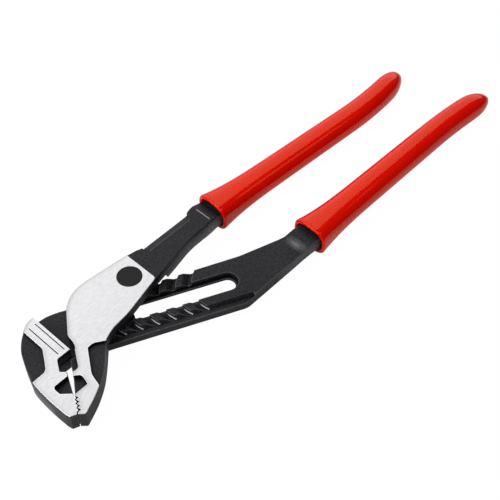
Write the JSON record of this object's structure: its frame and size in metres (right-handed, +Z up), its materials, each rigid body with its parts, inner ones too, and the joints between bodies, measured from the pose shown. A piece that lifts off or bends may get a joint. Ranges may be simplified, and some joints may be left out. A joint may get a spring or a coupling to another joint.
{
  "type": "water pump pliers",
  "caption": "Tongue-and-groove water pump pliers with angled toothed jaws, a slotted grooved arm with a sliding pivot, and dipped red handle grips.",
  "frame": {"origin": "middle of the bounding box, on the bench that the closed tool lies on", "axes": "+X toward the handle ends, +Y toward the upper lever's handle, +Z up out of the bright face"},
  "size_m": [0.2714, 0.0618, 0.0145],
  "materials": {
    "forged_steel": "satin black with ground bright faces",
    "bare_steel": "satin",
    "red_dip": "gloss"
  },
  "bodies": {
    "lower_lever": {"lower_lever": "forged_steel", "lower_grip": "red_dip"},
    "pivot_slide": {"pivot_washer": "bare_steel"},
    "upper_lever": {"upper_lever": "forged_steel", "upper_grip": "red_dip", "pivot_stud": "bare_steel", "pivot_nut": "bare_steel"}
  },
  "joints": [
    {"name": "slot_slide", "type": "slide", "parent": "lower_lever", "child": "pivot_slide", "axis": [0.8988, -0.4384, 0], "range_m": [0, 0.0444]},
    {"name": "pivot_hinge", "type": "hinge", "parent": "pivot_slide", "child": "upper_lever", "pos_m": [-0.08805, 0.01, 0.00138], "axis": [0, 0, 1], "range_deg": [0, 45]}
  ]
}
